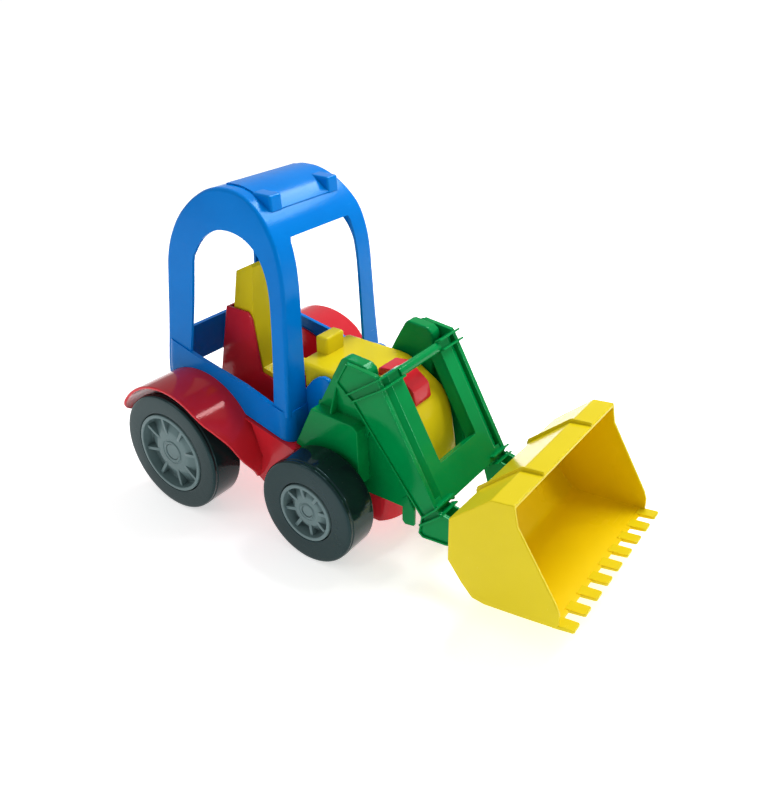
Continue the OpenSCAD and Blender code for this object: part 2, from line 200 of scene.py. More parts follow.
def cut(piece, *tools):
    for tool in tools:
        run_modifier(piece, "BOOLEAN", operation="DIFFERENCE", object=tool, solver="EXACT")
        bpy.data.objects.remove(tool)
    return piece


def put_together(piece, *others):
    choose(piece, *others)
    bpy.ops.object.join()
    return piece


def copy_of(piece, name, shift=(0, 0, 0)):
    choose(piece)
    bpy.ops.object.duplicate(linked=False)
    twin = name_it(bpy.context.object, name)
    if tuple(shift) != (0, 0, 0):
        edit(twin)
        bpy.ops.mesh.select_all(action="SELECT")
        bpy.ops.transform.translate(value=shift)
        done()
    return twin


def mirror_of(piece, name):
    """The same piece on the other side, with its faces turned out again."""
    twin = copy_of(piece, name)
    edit(twin)
    bpy.ops.mesh.select_all(action="SELECT")
    bpy.ops.transform.resize(value=(1, -1, 1), center_override=(0, 0, 0))
    bpy.ops.mesh.flip_normals()
    done()
    return twin


def both_sides(piece):
    return put_together(piece, mirror_of(piece, "twin"))


def finish_piece(piece, material, body, slot, *replaced, smooth=38):
    choose(piece)
    bpy.ops.object.transform_apply(location=True, rotation=True, scale=True)
    bpy.ops.object.shade_smooth_by_angle(angle=math.radians(smooth))
    run_modifier(piece, "WEIGHTED_NORMAL", keep_sharp=True, weight=60)
    piece.data.materials.clear()
    piece.data.materials.append(material)
    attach(piece, body)
    if replaced:
        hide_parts(*replaced)
    return piece


# ---- finishes -----------------------------------------------------------
def new_group(name, inputs, outputs):
    group = bpy.data.node_groups.new(name, "ShaderNodeTree")
    for title, kind, value in inputs:
        socket = group.interface.new_socket(title, in_out="INPUT", socket_type=kind)
        socket.default_value = value
    for title, kind in outputs:
        group.interface.new_socket(title, in_out="OUTPUT", socket_type=kind)
    return group, group.nodes.new("NodeGroupInput"), group.nodes.new("NodeGroupOutput")


def add(tree, kind, links=(), **settings):
    node = tree.nodes.new(kind)
    for key, value in settings.items():
        if hasattr(node, key):
            setattr(node, key, value)
        else:
            node.inputs[key.replace("_", " ")].default_value = value
    for target, source in links:
        tree.links.new(source, node.inputs[target])
    return node


def moulded_skin_group():
    """Moulded plastic skin: cloudy tone, fine grain, orange peel, small scuffs and a little dust."""
    tree, inp, out = new_group("moulded_skin", [("Tone", "NodeSocketFloat", 0.12),
        ("Grain", "NodeSocketFloat", 0.5), ("Scuffs", "NodeSocketFloat", 0.4),
        ("Rough", "NodeSocketFloat", 0.25)], [("Cloud", "NodeSocketFloat"),
        ("Roughness", "NodeSocketFloat"), ("Height", "NodeSocketFloat"), ("Dust", "NodeSocketFloat")])
    link = tree.links.new
    place = add(tree, "ShaderNodeTexCoord").outputs["Object"]
    cloud = add(tree, "ShaderNodeTexNoise", [("Vector", place)], Scale=22.0, Detail=3.0, Roughness=0.55)
    wide = add(tree, "ShaderNodeTexNoise", [("Vector", place)], Scale=7.0, Detail=1.0)
    both = add(tree, "ShaderNodeMath", [(0, cloud.outputs["Fac"]), (1, wide.outputs["Fac"])],
        operation="ADD")
    mid = add(tree, "ShaderNodeMath", [(0, both.outputs[0])], operation="SUBTRACT")
    mid.inputs[1].default_value = 1.0
    tone = add(tree, "ShaderNodeMath", [(0, mid.outputs[0]), (1, inp.outputs["Tone"])],
        operation="MULTIPLY")
    link(tone.outputs[0], out.inputs["Cloud"])
    grain = add(tree, "ShaderNodeTexNoise", [("Vector", place)], Scale=1400.0, Detail=2.0, Roughness=0.6)
    peel = add(tree, "ShaderNodeTexNoise", [("Vector", place)], Scale=170.0, Detail=1.0)
    fine = add(tree, "ShaderNodeMath", [(0, grain.outputs["Fac"]), (1, inp.outputs["Grain"])],
        operation="MULTIPLY")
    high = add(tree, "ShaderNodeMath", [(0, peel.outputs["Fac"]), (1, fine.outputs[0])], operation="ADD")
    # scuffs: long thin cells, kept only where a second noise allows
    stretch = add(tree, "ShaderNodeMapping", [("Vector", place)])
    stretch.inputs["Rotation"].default_value = (0.4, 0.9, 0.3)
    stretch.inputs["Scale"].default_value = (900, 40, 420)
    lines = add(tree, "ShaderNodeTexNoise", [("Vector", stretch.outputs[0])], Scale=1.0, Detail=2.0)
    thin = add(tree, "ShaderNodeMapRange", [("Value", lines.outputs["Fac"])])
    thin.inputs[1].default_value = 0.64
    thin.inputs[2].default_value = 0.72
    patch = add(tree, "ShaderNodeTexNoise", [("Vector", place)], Scale=34.0, Detail=2.0)
    allow = add(tree, "ShaderNodeMapRange", [("Value", patch.outputs["Fac"])])
    allow.inputs[1].default_value = 0.5
    allow.inputs[2].default_value = 0.66
    scuff = add(tree, "ShaderNodeMath", [(0, thin.outputs[0]), (1, allow.outputs[0])],
        operation="MULTIPLY")
    worn = add(tree, "ShaderNodeMath", [(0, scuff.outputs[0]), (1, inp.outputs["Scuffs"])],
        operation="MULTIPLY")
    dent = add(tree, "ShaderNodeMath", [(0, worn.outputs[0])], operation="MULTIPLY")
    dent.inputs[1].default_value = -0.5
    relief = add(tree, "ShaderNodeMath", [(0, high.outputs[0]), (1, dent.outputs[0])], operation="ADD")
    link(relief.outputs[0], out.inputs["Height"])
    bright = add(tree, "ShaderNodeMath", [(0, worn.outputs[0])], operation="MULTIPLY")
    bright.inputs[1].default_value = 0.3
    sway = add(tree, "ShaderNodeMath", [(0, mid.outputs[0])], operation="MULTIPLY")
    sway.inputs[1].default_value = 0.1
    rough = add(tree, "ShaderNodeMath", [(0, bright.outputs[0]), (1, sway.outputs[0])], operation="ADD")
    total = add(tree, "ShaderNodeMath", [(0, rough.outputs[0]), (1, inp.outputs["Rough"])],
        operation="ADD", use_clamp=True)
    link(total.outputs[0], out.inputs["Roughness"])
    specks = add(tree, "ShaderNodeTexVoronoi", [("Vector", place)], Scale=260.0)
    small = add(tree, "ShaderNodeMapRange", [("Value", specks.outputs["Distance"])])
    small.inputs[1].default_value = 0.09
    small.inputs[2].default_value = 0.03
    some = add(tree, "ShaderNodeMath", [(0, small.outputs[0]), (1, allow.outputs[0])],
        operation="MULTIPLY")
    link(some.outputs[0], out.inputs["Dust"])
    return tree


moulded_skin = moulded_skin_group()


def plastic(name, deep, clear_tone, shine=(1, 1, 1), rough=0.22, grain=0.35, scuffs=0.5, tone=0.9,
        bump=0.05, dust=0.08, sheen=0.25):
    material = bpy.data.materials.new(name)
    material.use_nodes = True
    tree = material.node_tree
    shader = tree.nodes["Principled BSDF"]
    skin = tree.nodes.new("ShaderNodeGroup")
    skin.node_tree = moulded_skin
    skin.inputs["Tone"].default_value = tone
    skin.inputs["Grain"].default_value = grain
    skin.inputs["Scuffs"].default_value = scuffs
    skin.inputs["Rough"].default_value = rough
    half = add(tree, "ShaderNodeMath", [(0, skin.outputs["Cloud"])], operation="ADD", use_clamp=True)
    half.inputs[1].default_value = 0.5
    mix = add(tree, "ShaderNodeMix", data_type="RGBA")
    tree.links.new(half.outputs[0], mix.inputs[0])
    mix.inputs[6].default_value = (*deep, 1)
    mix.inputs[7].default_value = (*clear_tone, 1)
    dusty = add(tree, "ShaderNodeMix", data_type="RGBA")
    amount = add(tree, "ShaderNodeMath", [(0, skin.outputs["Dust"])], operation="MULTIPLY")
    amount.inputs[1].default_value = dust
    tree.links.new(amount.outputs[0], dusty.inputs[0])
    tree.links.new(mix.outputs[2], dusty.inputs[6])
    dusty.inputs[7].default_value = (0.7, 0.7, 0.68, 1)
    tree.links.new(dusty.outputs[2], shader.inputs["Base Color"])
    tree.links.new(skin.outputs["Roughness"], shader.inputs["Roughness"])
    relief = add(tree, "ShaderNodeBump", [("Height", skin.outputs["Height"])])
    relief.inputs["Strength"].default_value = bump
    relief.inputs["Distance"].default_value = 0.001
    tree.links.new(relief.outputs[0], shader.inputs["Normal"])
    shader.inputs["IOR"].default_value = 1.49
    shader.inputs["Specular IOR Level"].default_value = sheen
    shader.inputs["Specular Tint"].default_value = (*shine, 1)
    return material


red_gloss = plastic("red_moulded_gloss", (0.54, 0.012, 0.022), (0.70, 0.028, 0.042), (1, 0.62, 0.62),
    rough=0.10, sheen=0.38)
yellow_gloss = plastic("yellow_moulded_gloss", (0.67, 0.53, 0.005), (0.76, 0.61, 0.012), (1, 0.95, 0.6),
    rough=0.18)
# painted shade: a deeper amber yellow for the inside of the bucket, where shade falls
yellow_painted_shade_inside = plastic("yellow_hollow_painted_shade", (0.74, 0.51, 0.001), (0.84, 0.61, 0.003), (1, 0.9, 0.4),
    rough=0.28, sheen=0.2)
blue_gloss = plastic("blue_moulded_gloss", (0.0, 0.145, 0.53), (0.0, 0.20, 0.67), (0.2, 0.8, 1),
    rough=0.15, sheen=0.17)
green_gloss = plastic("green_moulded_gloss", (0.0, 0.20, 0.042), (0.0, 0.29, 0.072), (0.3, 1, 0.65),
    rough=0.10, sheen=0.2)
rim_satin = plastic("grey_rim_satin", (0.10, 0.155, 0.16), (0.15, 0.22, 0.225), (0.8, 1, 1), rough=0.3,
    grain=0.6)
tyre_gloss = plastic("black_tyre_gloss", (0.004, 0.011, 0.012), (0.009, 0.021, 0.022), (0.5, 0.95, 1),
    rough=0.09, grain=0.2, dust=0.15, sheen=0.32)
steel_rod = plastic("drawn_steel", (0.42, 0.42, 0.43), (0.58, 0.58, 0.59), rough=0.3, grain=1.0)
steel_rod.node_tree.nodes["Principled BSDF"].inputs["Metallic"].default_value = 1.0

slot_of = {part["node"]: part["material_slot"] for part in frame["record"]["subparts"]}
by_slot = {"red_plastic": red_gloss, "yellow_plastic": yellow_gloss, "blue_plastic": blue_gloss,
    "green_plastic": green_gloss, "grey_plastic": rim_satin, "black_plastic": tyre_gloss,
    "steel": steel_rod}
for node_name, node in nodes.items():
    node.data.materials.clear()
    node.data.materials.append(by_slot[slot_of[node_name]])


# ---- wheels -------------------------------------------------------------
def turned(name, profile, steps=96, centre=(0, 0, 0), facing=1):
    """A closed profile (radius, depth from the outer face) turned round a wheel's own axle."""
    x, y, z = centre
    piece = trace(name, [at(x + r, y - facing * d, z) for r, d in profile])
    bpy.ops.mesh.edge_face_add()
    bpy.ops.mesh.delete(type="ONLY_FACE")
    bpy.ops.mesh.select_all(action="SELECT")
    bpy.ops.mesh.spin(steps=steps, angle=math.tau, center=at(x, y, z), axis=(0, 1, 0),
        use_auto_merge=True)
    bpy.ops.mesh.select_all(action="SELECT")
    bpy.ops.mesh.remove_doubles(threshold=0.00001)
    bpy.ops.mesh.normals_make_consistent(inside=False)
    done()
    return piece


def bow(cx, cz, r, a0, a1, n):
    return [(cx + r * math.cos(math.radians(a0 + (a1 - a0) * i / n)), cz
        + r * math.sin(math.radians(a0 + (a1 - a0) * i / n))) for i in range(n + 1)]


WIDTH = 33


def make_tyre(name, r, rim, x, face):
    profile = ([(rim + 0.2, 8 - WIDTH), (rim + 0.2, -1.6), (rim + 0.8, -0.6), (rim + 2.2, 0),
        (r - 4.2, 0)] + bow(r - 2.4, -2.4, 2.2, 88, 8, 6)
        + [(r - 0.55, -3.4), (r - 0.55, -3.9), (r - 0.1, -4.4), (r, -5.2)]
        + bow(r - 4.2, 4 - WIDTH, 4, 0, -84, 9) + bow(r - 4.2, 4 - WIDTH, 1.4, -84, 0, 5)
        + [(r - 3.4, -3.2), (rim + 3, -3.2), (rim + 3, 8 - WIDTH)])
    return turned(name, profile, 128, (x, -face, r))


def make_rim(name, r, x, face, z):
    hub = 0.3 * r
    shell = turned(name, [(3.06, -7.2), (0.19 * r, -6.6), (0.2 * r, -5.4), (0.205 * r, -2.9),
        (0.22 * r, -2.3), (hub - 1.4, -2.3), (hub - 0.6, -3.3), (hub + 0.4, -3.3), (hub + 1.0, -2.8),
        (0.50 * r, -2.9), (0.56 * r, -3.6), (0.80 * r, -8.2), (r - 4.6, -9.0), (r - 3.9, -8.2),
        (r - 3.3, 0.4), (r - 2.9, 0.9), (r - 1.0, 0.9), (r - 0.3, 0.5), (r, -0.4), (r, 7 - WIDTH),
        (r - 3, 7 - WIDTH), (r - 5.5, -13), (0.33 * r, -11), (8, -WIDTH - 6), (3.06, -WIDTH - 6)], 96,
        (x, -face, z))
    # one blade from the hub to the ring, then seven more round the axle
    blade = slab("blade", [at(x + q, -face + d, z - 1.5) for q,
        d in ((0.42 * r, 3.2), (0.5 * r, 2.4), (0.62 * r, 1.9), (r - 5.2, 1.7), (r - 3.2, 1.9),
        (r - 3.2, 10), (0.42 * r, 10))], Vector((0, 0, 3.0 * MM)))
    soften(blade, 0.45, 2)
    blades = [blade]
    for i in range(1, 8):
        twin = copy_of(blade, "blade%d" % i)
        edit(twin)
        bpy.ops.mesh.select_all(action="SELECT")
        bpy.ops.transform.rotate(value=math.radians(45 * i), orient_axis="Y",
            center_override=at(x, -face, z))
        done()
        blades.append(twin)
    rim = put_together(shell, *blades)
    edit(rim)
    bpy.ops.mesh.select_all(action="SELECT")
    bpy.ops.transform.rotate(value=math.radians(12), orient_axis="Y", center_override=at(x, -face, z))
    done()
    return rim


for axle, x, r, rim_r, face in (("rear", 0, 55, 37, 110.5), ("front", 145, 46.5, 25.8, 99)):
    tyre = make_tyre("tyre_ring_%s_right" % axle, r, rim_r, x, face)
    wheel = make_rim("wheel_rim_%s_right" % axle, rim_r, x, face, r)
    for side, tyre_piece, rim_piece in (("left", mirror_of(tyre, "tyre_ring_%s_left" % axle),
            mirror_of(wheel, "wheel_rim_%s_left" % axle)), ("right", tyre, wheel)):
        body = "wheel_%s_%s" % (axle, side)
        finish_piece(tyre_piece, tyre_gloss, body, "black_plastic", "tyre_%s_%s" % (axle, side))
        finish_piece(rim_piece, rim_satin, body, "grey_plastic", "rim_%s_%s" % (axle, side), smooth=32)


# ---- mudguards ----------------------------------------------------------
GUARD_C = (0, 52.7)
GUARD_R = 65.7
GUARD_OUT = 110.6
GUARD_IN = 62.4
GUARD_EDGE = [(24, 63), (40, 73), (55, 84.5), (64, 89.5), (77, 95.5), (86, 101), (91, 104), (95, 106.3),
    (98, 108.2), (102, 109.6), (106, 110.5)]
GUARD_TAIL = [(71, 88), (73.4, 95), (77, 102), (81.4, 107), (86, 109.6), (91, 110.6)]


def guard_half_width(x, z):
    if z > 106:
        return GUARD_OUT
    edge = GUARD_TAIL if x < 0 else GUARD_EDGE
    for (z0, y0), (z1, y1) in zip(edge, edge[1:]):
        if z <= z1:
            return y0 + (y1 - y0) * (max(z, z0) - z0) / (z1 - z0)
    return GUARD_OUT


def make_guard():
    """A line across the wheel, spun over it, then drawn in ring by ring towards the body."""
    first, last, steps = 162, -20, 74
    a = math.radians(first)
    start = (GUARD_R * math.cos(a), GUARD_C[1] + GUARD_R * math.sin(a))
    sheet = trace("mudguard_right", [at(start[0], y, start[1])
        for y in (-GUARD_IN, -74, -86, -98, -GUARD_OUT)])
    bpy.ops.mesh.spin(steps=steps, angle=math.radians(last - first), center=at(0, 0, GUARD_C[1]),
        axis=(0, 1, 0))
    done()
    for i in range(steps + 1):
        t = math.radians(first + (last - first) * i / steps)
        x, z = GUARD_R * math.cos(t), GUARD_C[1] + GUARD_R * math.sin(t)
        half = guard_half_width(x, z)
        if half < 110.5:
            mark_points(sheet, lambda p: abs(p.x - x) < 0.2 and abs(p.z - z) < 0.2)
            bpy.ops.transform.resize(value=(1, (half - GUARD_IN) / (GUARD_OUT - GUARD_IN), 1),
                center_override=at(x, -GUARD_IN, z))
            done()
    edit(sheet)
    bpy.ops.mesh.select_all(action="SELECT")
    bpy.ops.mesh.normals_make_consistent(inside=False)
    done()
    middle = sum((f.normal.dot(f.center - at(0, f.center.y / MM, GUARD_C[1]))
        for f in sheet.data.polygons))
    if middle < 0:
        edit(sheet)
        bpy.ops.mesh.select_all(action="SELECT")
        bpy.ops.mesh.flip_normals()
        done()
    run_modifier(sheet, "SOLIDIFY", thickness=2.6 * MM, offset=-1)
    soften(sheet, 1.0, 3, 50)
    return sheet


guard = make_guard()
finish_piece(mirror_of(guard, "mudguard_left"), red_gloss, "tractor", "red_plastic", "guard_left")
finish_piece(guard, red_gloss, "tractor", "red_plastic", "guard_right")


# ---- bucket -------------------------------------------------------------
def draw_in_bucket(piece):
    """The bucket narrows a little from its back to its teeth."""
    columns = sorted({round((v.co.x - rear_axle_x) / MM, 2) for v in piece.data.vertices
        if v.co.x > at(303.5, 0, 0).x})
    for x in columns:
        mark_points(piece, lambda p: abs(p.x - x) < 0.02)
        bpy.ops.transform.resize(value=(1, 1 - 3.1 / 86.5 * (x - 303) / 77, 1),
            center_override=at(x, 0, 0))
        done()


BUCKET_OUT = [(271, 89), (303, 118.6), (320.5, 121), (324, 104.5), (358, 50.5), (360.6, 44), (361, 36),
    (360, 31.5), (332, 28.2), (304, 25.4), (293.5, 26.5), (284, 36), (271.5, 52)]
BUCKET_IN = [(273.6, 88), (304.2, 115.8), (322, 118.1), (327, 106), (345, 90), (362, 60), (370, 34.6),
             (331.5, 30.8), (304, 28), (294.6, 29), (285.9, 37.8), (274, 53)]
bucket = side_slab("bucket_shell", BUCKET_OUT, -86.5, 86.5)
hollow = side_slab("hollow", BUCKET_IN, -83.9, 83.9)
round_edges(hollow, 2.2, 3, lambda m, d: abs(d.y) > 0.9 and m.x < 300)
for part in (bucket, hollow):
    draw_in_bucket(part)
cut(bucket, hollow)
soften(bucket, 0.95, 3)
tooth = plan_slab("tooth", [(356, -5.6), (371.3, -5.2), (372.5, -4.2), (372.5, 4.2), (371.3, 5.2),
    (356, 5.6)], 30.2, 33.6)
mark_points(tooth, lambda p: p.x > 360 and p.z < 33)
bpy.ops.transform.translate(value=(0, 0, 2.9 * MM))
mark_points(tooth, lambda p: p.x > 360 and p.z > 33.3)
bpy.ops.transform.translate(value=(0, 0, 2.4 * MM))
soften(tooth, 0.7, 3)
teeth = [copy_of(tooth, "tooth%d" % i, (0, (-78.1 + i * 156.2 / 8) * MM, 0)) for i in range(9)]
bpy.data.objects.remove(tooth)
rib = side_slab("rib", [(271.6, 80), (268.4, 83.6), (267.8, 87), (268.6, 90.4), (302.3, 121.2),
    (304, 122), (319.8, 123.8), (320.8, 123), (320.3, 120.2), (303, 117.5), (272.4, 88)], -42, -40.4)
soften(rib, 0.6, 3)
lug = side_slab("lug", [(273, 62), (262, 58.4), (255, 55.6), (251, 52), (249.4, 48), (250.6, 44),
    (253.4, 40.6), (257, 38.8), (263, 38.8), (287, 35), (276, 54)], -48.6, -41)
soften(lug, 0.8, 2)
finish_piece(put_together(bucket, *teeth, both_sides(rib), both_sides(lug)), yellow_gloss, "bucket",
    "yellow_plastic", "bucket", smooth=30)
# painted shade: the bucket's hollow gets a deeper amber yellow that stands in for the shade and
# interreflection inside it
bucket.data.materials.append(yellow_painted_shade_inside)


def in_the_hollow(one):
    """True for a face whose outside lies within the bucket's hollow, where the painted shade goes."""
    p = one.calc_center_median() + one.normal * 6 * MM
    x, y, z = (p.x - rear_axle_x) / MM, abs(p.y) / MM, p.z / MM
    inside = y < 84 and 274 < x < 368 and 29 < z < 118
    below_the_back = z < 88 + (x - 273.6) * 0.908
    behind_the_mouth = (x - 326) * 72 + (z - 108) * 42 < 0
    faces_in = one.normal.x > 0.15 or one.normal.z > 0.3 or z > 100
    end_wall = abs(one.normal.y) > 0.8 and one.normal.y * p.y < 0
    return inside and below_the_back and behind_the_mouth and (faces_in or end_wall)


mark_faces(bucket, in_the_hollow)
bucket.active_material_index = 1
bpy.ops.object.material_slot_assign()
done()


# ---- loader arm ---------------------------------------------------------
ARM_A = Vector((185.5, 161))
ARM_B = Vector((242, 62))
ARM_D = (ARM_B - ARM_A).normalized()
ARM_N = Vector((-ARM_D.y, ARM_D.x))
ARM_L = (ARM_B - ARM_A).length


def on_arm(t, y, out):
    p = ARM_A + ARM_D * t + ARM_N * out
    return at(p.x, y, p.y)


def along_arm(name, profile, t0, t1):
    """A section (y, out) pulled down the arm."""
    return slab(name, [on_arm(t0, y, o) for y, o in profile], on_arm(t1, 0, 0) - on_arm(t0, 0, 0))


def across_arm(name, profile, y0, y1):
    """A section (t, out) pulled across the arm."""
    return slab(name, [on_arm(t, y0, o) for t, o in profile], Vector((0, (y1 - y0) * MM, 0)))


face = along_arm("arm_face", [(-52.4, -5.4), (-51.2, -3.6), (-42.5, 0), (42.5, 0), (51.2, -3.6),
    (52.4, -5.4), (50, -7), (42, -2.8), (-42, -2.8), (-50, -7)], 0, ARM_L)
window = across_arm("window", [(-6, -12), (84.4, -12), (84.4, 6), (-6, 6)], -27.4, 27.4)
round_edges(window, 1.6, 3, lambda m, d: abs(d.y) < 0.1 and abs(m.y) > 27)
cut(face, window)
soften(face, 1.3, 3, 12)
pieces = []
inner = along_arm("inner", [(-29.8, -12.4), (-27.4, -12.4), (-27.4, -0.8), (-29.8, -0.8)], 8, 116)
pieces.append(both_sides(inner))
pieces.append(across_arm("sill", [(84.4, -8), (86.9, -8), (86.9, -0.8), (84.4, -0.8)], -28, 28))
pieces.append(across_arm("top_bar", [(1.4, -4.6), (8.2, -4.6), (9.2, -3.4), (9.2, -1.2), (7.6, 1.0),
    (5.2, 2.0), (2.6, 1.4), (0.8, -0.6), (0.6, -3.4)], -29, 29))
for piece in pieces:
    soften(piece, 0.7, 2)
wall = side_slab("arm_wall", [(144.5, 146), (155, 166), (184, 163.2), (185.8, 161.6), (242.4, 62.4),
    (263, 58.6), (269, 48), (264, 38.5), (251, 34), (229, 32), (225, 35), (227.5, 51), (161, 133),
    (155, 137)], -53.4, -50.9)
soften(wall, 0.7, 2)
pieces.append(both_sides(wall))


def edge_rib(name, outline, thick, y0, y1):
    """A thin raised rim that follows an outline (x, z) on the arm's side wall."""
    line = trace(name, [at(x, y0, z) for x, z in outline])
    bpy.ops.mesh.extrude_region_move(TRANSFORM_OT_translate={"value": (0, (y1 - y0) * MM, 0)})
    bpy.ops.mesh.select_all(action="SELECT")
    bpy.ops.mesh.normals_make_consistent(inside=False)
    done()
    run_modifier(line, "SOLIDIFY", thickness=thick * MM, offset=0, use_even_offset=True)
    soften(line, 0.45, 2)
    return line


pieces.append(both_sides(edge_rib("front_rim", [(156.6, 165.2), (183.6, 162.4), (185.2, 160.6),
    (241.4, 62.8)], 1.7, -52.5, -55.6)))
pieces.append(both_sides(edge_rib("back_rim", [(155.6, 164.8), (145.8, 146.4), (155.6, 138.0),
    (161.6, 134.0), (228.4, 51.6)], 1.7, -52.5, -55.0)))
pieces.append(both_sides(edge_rib("foot_rim", [(228.2, 50.4), (226.2, 35.6), (229.6, 33.0), (251, 35),
    (263.2, 39.3), (267.8, 48.2), (262.2, 57.8), (243, 61.4)], 1.7, -52.5, -55.2)))


def flange(name, foot, t, y_in):
    """A thin plate across the leg and down its side wall."""
    q = ARM_A + ARM_D * t + ARM_N * 4.6
    p = Vector(foot)
    d = (q - p).normalized()
    n = Vector((-d.y, d.x)) * 1.7
    r = ARM_A + ARM_D * t - ARM_N * 1.6
    sidewall = side_slab(name, [tuple(p), tuple(q), tuple(q + n), tuple(p + n)], -57.6, -52.6)
    top = side_slab("top", [tuple(r), tuple(q), tuple(q + n), tuple(r + n)], -54, -y_in)
    round_edges(sidewall, 2.2, 3, lambda m, e: abs(m.y + 57.6) < 0.1 and abs(e.y) < 0.1
        and (Vector((m.x, m.z)) - p).length < 1.5)
    for part in (sidewall, top):
        soften(part, 0.5, 2)
    return both_sides(put_together(sidewall, top))


pieces += [flange("upper_flange", (155, 137), 1, 27.4), flange("second_flange", (161, 133), 9.2, 27.4),
           flange("foot_flange", (229, 51), 110.5, 31.9), flange("lowest_flange", (227, 43), 117.5, 31.9)]
foot = side_slab("foot", [(231, 74), (242, 62), (263, 58.6), (269, 48), (264, 38.5), (251, 34),
    (236, 36), (228, 62)], -39.1, -36.6)
bridge = side_slab("bridge", [(237, 70), (242, 62), (232.5, 52), (227.5, 60)], -52, -27.4)
soften(foot, 0.8, 2)
soften(bridge, 0.8, 2)
pieces += [both_sides(foot), both_sides(bridge)]
clear()
bpy.ops.mesh.primitive_cylinder_add(vertices=48, radius=5 * MM, depth=15 * MM,
    location=at(163, -45.7, 150), rotation=(math.pi / 2, 0, 0))
pin = name_it(bpy.context.object, "pivot_pin")
bpy.ops.object.transform_apply(location=True, rotation=True, scale=True)
soften(pin, 0.6, 2)
pieces.append(both_sides(pin))
finish_piece(put_together(face, *pieces), green_gloss, "arm", "green_plastic", "loader_arm", smooth=30)


# ---- loader brackets ----------------------------------------------------
def make_bracket():
    tower = side_slab("bracket_tower_right", [(113, 92), (124, 119), (138, 148), (147, 165), (150, 167),
        (169, 165.5), (174, 162), (175.5, 157), (175, 112), (168, 92)], -50.3, -37.9)
    round_edges(tower, 2.0, 4, lambda m, d: m.z > 112 and m.x > 118)
    box = side_slab("box", [(105.5, 79.6), (124, 118.8), (166, 116.8), (170.5, 113), (172, 62),
        (112, 62), (112, 77.6)], -62, -47)
    under = side_slab("under", [(111, 80), (126, 115.6), (165, 113.8), (167.6, 111), (169, 50),
        (114.6, 50), (114.6, 79)], -59.5, -49.6)
    cut(box, under)
    soften(box, 1.0, 3)
    fairing = side_slab("fairing", [(112, 78), (120, 119), (172, 135), (186, 120), (210, 60), (207, 47),
        (112, 47)], -47, -44.4)
    toe = side_slab("toe", [(204.5, 56), (204.5, 34), (207.5, 31), (216, 32.5), (216, 48), (209, 60)],
        -47.6, -44.4)
    gusset = front_slab("gusset", [(-50, 116), (-58.6, 116), (-58.6, 120.5), (-52, 137), (-50, 140)],
        141, 142.8)
    for part in (fairing, toe, gusset):
        soften(part, 0.6, 2)
    return put_together(tower, box, fairing, toe, gusset)


bracket = make_bracket()
finish_piece(mirror_of(bracket, "bracket_tower_left"), green_gloss, "tractor", "green_plastic",
    "bracket_left", smooth=30)
finish_piece(bracket, green_gloss, "tractor", "green_plastic", "bracket_right", smooth=30)


# ---- hood and scoop -----------------------------------------------------
HOOD = [(89, 140), (146, 140), (153, 139.2), (159, 137.2), (168, 132.6), (177, 127.2), (183, 123.8),
    (188, 120.4), (192.4, 115.6), (195.6, 110), (197.6, 104), (200, 96), (204, 75), (207, 52),
    (207, 47.2), (114, 47.2), (114, 120), (97, 120), (97, 133.6), (89, 133.6)]
hood = side_slab("hood_shell", HOOD, -36, 36)
round_edges(hood, 5.2, 6, lambda m, d: (abs(abs(m.y) - 36) < 0.1 and abs(d.y) < 0.1
    and (m.z > 134 or m.x > 160) and m.z > 48 and m.x > 89.1) or (m.x < 89.1 and abs(d.y) < 0.1))
hollow = side_slab("hollow", [(99.6, 137), (145.5, 137), (157, 133), (174, 125), (186, 118), (193, 109),
    (197, 95), (201, 74.7), (204.4, 40), (116.6, 40), (116.6, 118), (99.6, 118)], -28, 28)
cut(hood, hollow)
dash = side_slab("dash", [(89, 136), (89, 155.5), (101.5, 155.5), (101.5, 136)], -12, 12)
round_edges(dash, 2.2, 4, lambda m, d: m.z > 138)
soften(hood, 1.0, 2)
finish_piece(put_together(hood, dash), yellow_gloss, "tractor", "yellow_plastic", "hood", smooth=30)

scoop = side_slab("hood_scoop", [(154.5, 137.4), (154.5, 143.6), (157, 145), (169, 146.5), (172, 145.4),
    (188, 133.6), (189.6, 131.6), (192.2, 121), (191, 117.6), (184, 121)], -12, 12)
soften(scoop, 1.3, 3)
finish_piece(scoop, red_gloss, "tractor", "red_plastic", "scoop", smooth=30)


# ---- cab ----------------------------------------------------------------
def flowing(points, steps=3):
    """A smooth line through given points."""
    line = []
    for i in range(len(points) - 1):
        p0, p1, p2, p3 = (Vector(points[min(max(k, 0), len(points) - 1)])
            for k in (i - 1, i, i + 1, i + 2))
        for k in range(steps):
            t = k / steps
            q = 0.5 * (2 * p1 + (p2 - p0) * t + (2 * p0 - 5 * p1 + 4 * p2 - p3) * t * t
                + (3 * p1 - p0 - 3 * p2 + p3) * t ** 3)
            line.append((q.x, q.y))
    return line + [tuple(points[-1])]


CAB_HALF = [(60, 66), (118, 64.4), (145, 62), (170, 60), (200, 58), (230, 57.2), (254, 56), (281, 51.5)]


def cab_half_width(z):
    for (z0, y0), (z1, y1) in zip(CAB_HALF, CAB_HALF[1:]):
        if z <= z1:
            return y0 + (y1 - y0) * (z - z0) / (z1 - z0)
    return CAB_HALF[-1][1]


ARCH = flowing([(-44, 103), (-43, 118), (-40.5, 145), (-38.5, 170), (-36, 200), (-33.5, 215),
    (-28.5, 230), (-20.5, 245), (-12, 256), (-3, 265), (6, 271.6), (16, 277), (28, 280.4), (37, 281),
    (47, 280.4), (58, 277.2), (68, 272), (77, 265), (85, 256), (91, 245), (95.4, 230), (97.6, 215),
    (98.6, 200), (99.6, 170), (100.4, 145), (101.5, 118), (101.9, 103)])


def inward(line, inset):
    """The same line set in by a wall's thickness."""
    out = []
    for i, (x, z) in enumerate(line):
        a, b = Vector(line[max(i - 1, 0)]), Vector(line[min(i + 1, len(line) - 1)])
        d = (b - a).normalized()
        out.append((x + d.y * inset, z - d.x * inset))
    return out


